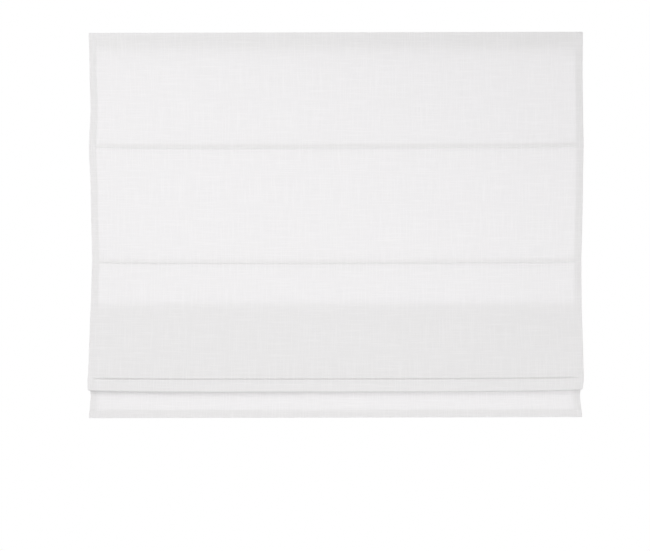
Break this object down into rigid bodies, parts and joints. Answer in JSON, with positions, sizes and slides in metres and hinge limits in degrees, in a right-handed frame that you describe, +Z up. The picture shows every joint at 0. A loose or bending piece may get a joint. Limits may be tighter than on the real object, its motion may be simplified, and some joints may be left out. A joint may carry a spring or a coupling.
{
  "type": "roman blind",
  "caption": "Half-raised roman blind: semi-sheer white cloth with rod tucks and a weighted hem, hung from a wall headrail with a spring-assisted cord lift.",
  "frame": {"origin": "on the wall plane, midway between the screw holes of the outer wall brackets", "axes": "+X to the right of somebody facing the blind, +Y into the wall, +Z up"},
  "size_m": [1.5, 0.0568, 1.179],
  "materials": {
    "cloth": "semi-sheer slubbed weave",
    "tape": "hook and loop tape",
    "cord": "braided polyester cord",
    "rail": "white powder coat",
    "white_plastic": "moulded",
    "grey_plastic": "moulded",
    "bracket_steel": "white enamel",
    "shaft_steel": "zinc plated",
    "rod": "pultruded fibreglass"
  },
  "bodies": {
    "headrail": {"headrail_profile": "rail", "end_cap_left": "white_plastic", "end_cap_right": "white_plastic", "hook_tape": "tape", "loop_tape": "tape", "fabric": "cloth", "lift_cords": "cord", "wall_bracket_left": "bracket_steel", "wall_bracket_middle": "bracket_steel", "wall_bracket_right": "bracket_steel", "drum_cradle_left": "grey_plastic", "drum_cradle_middle": "grey_plastic", "drum_cradle_right": "grey_plastic", "spring_housing": "grey_plastic", "spring_lid": "grey_plastic", "power_spring": "shaft_steel", "rod_1": "rod", "rod_1_caps": "white_plastic"},
    "upper_fold": {"rod_2": "rod", "rod_2_caps": "white_plastic", "cord_rings_rod_2": "white_plastic", "rod_3": "rod", "rod_3_caps": "white_plastic"},
    "lower_fold": {"rod_4": "rod", "rod_4_caps": "white_plastic", "cord_rings_rod_4": "white_plastic", "cord_stops": "white_plastic", "bottom_bar": "rail", "bottom_bar_caps": "white_plastic"},
    "lift_drive": {"lift_shaft": "shaft_steel", "shaft_clips": "shaft_steel", "cord_drum_left": "white_plastic", "cord_drum_middle": "white_plastic", "cord_drum_right": "white_plastic", "cord_windings": "cord", "spring_arbor": "white_plastic"},
    "lock_left": {"lock_lever_left": "grey_plastic"},
    "lock_middle": {"lock_lever_middle": "grey_plastic"},
    "lock_right": {"lock_lever_right": "grey_plastic"}
  },
  "joints": [
    {"name": "upper_lift", "type": "slide", "parent": "headrail", "child": "upper_fold", "axis": [0, 0, 1], "range_m": [0, 0.615], "deforming": ["fabric", "lift_cords"]},
    {"name": "lower_lift", "type": "slide", "parent": "upper_fold", "child": "lower_fold", "axis": [0, 0, 1], "range_m": [-0.562, 0.12], "deforming": ["fabric", "lift_cords"]},
    {"name": "drive_turn", "type": "hinge", "parent": "headrail", "child": "lift_drive", "pos_m": [0, -0.027, -0.005], "axis": [1, 0, 0], "range_deg": [-3038.8, 649.6]},
    {"name": "lock_turn_left", "type": "hinge", "parent": "headrail", "child": "lock_left", "pos_m": [-0.62, -0.027, 0.022], "axis": [0, 0, 1], "range_deg": [0, 90]},
    {"name": "lock_turn_middle", "type": "hinge", "parent": "headrail", "child": "lock_middle", "pos_m": [0, -0.027, 0.022], "axis": [0, 0, 1], "range_deg": [0, 90]},
    {"name": "lock_turn_right", "type": "hinge", "parent": "headrail", "child": "lock_right", "pos_m": [0.62, -0.027, 0.022], "axis": [0, 0, 1], "range_deg": [0, 90]}
  ],
  "couplings": [
    {"joint": "drive_turn", "follows": "lower_lift", "rad_per_m": 94.34}
  ]
}
